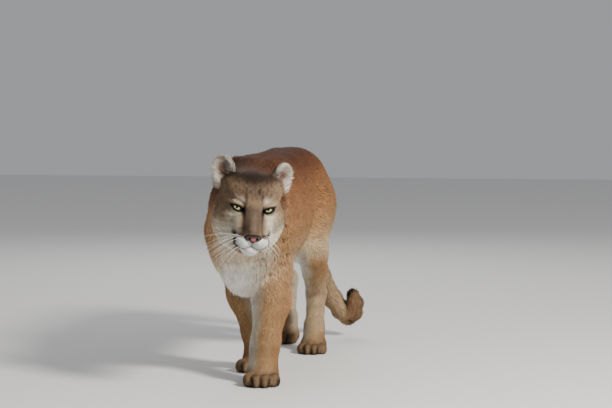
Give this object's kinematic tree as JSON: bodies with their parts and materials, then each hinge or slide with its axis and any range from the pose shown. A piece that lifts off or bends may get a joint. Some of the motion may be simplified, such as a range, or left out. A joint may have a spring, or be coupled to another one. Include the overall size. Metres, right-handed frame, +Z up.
{
  "type": "cougar, still museum-type model",
  "caption": "Adult cougar standing in a slow walk, head low and turned to its left, left foreleg forward, tail hanging with a curled tip.",
  "frame": {"origin": "centre of the standing box on the floor, between the four paws", "axes": "-Y is the way the body faces, +X the animal's left, +Z up; the body runs along Y"},
  "size_m": [0.3292, 1.4824, 0.6843],
  "materials": {
    "coat": "short dense fur, tawny, darker along the back",
    "pale_coat": "pale soft fur of chin, muzzle, chest and belly",
    "dark_coat": "dark fur of the tail tip and ear backs",
    "nose_leather": "moist pink leather with a black rim",
    "eye": "wet, pale yellow-green iris and round pupil"
  },
  "bodies": {
    "root": {"chest": "coat", "abdomen": "coat", "hips": "coat", "neck": "coat", "head": "coat", "muzzle": "coat", "lower_jaw": "pale_coat", "nose": "nose_leather", "eye_left": "eye", "eye_right": "eye", "ear_left": "coat", "ear_right": "coat", "foreleg_left_forearm": "coat", "foreleg_left_paw": "coat", "foreleg_right_forearm": "coat", "foreleg_right_paw": "coat", "hindleg_left_shank": "coat", "hindleg_left_foot": "coat", "hindleg_left_paw": "coat", "hindleg_right_shank": "coat", "hindleg_right_foot": "coat", "hindleg_right_paw": "coat", "tail_root": "coat", "tail_middle": "coat", "tail_low": "coat", "tail_tip": "dark_coat"}
  },
  "joints": []
}
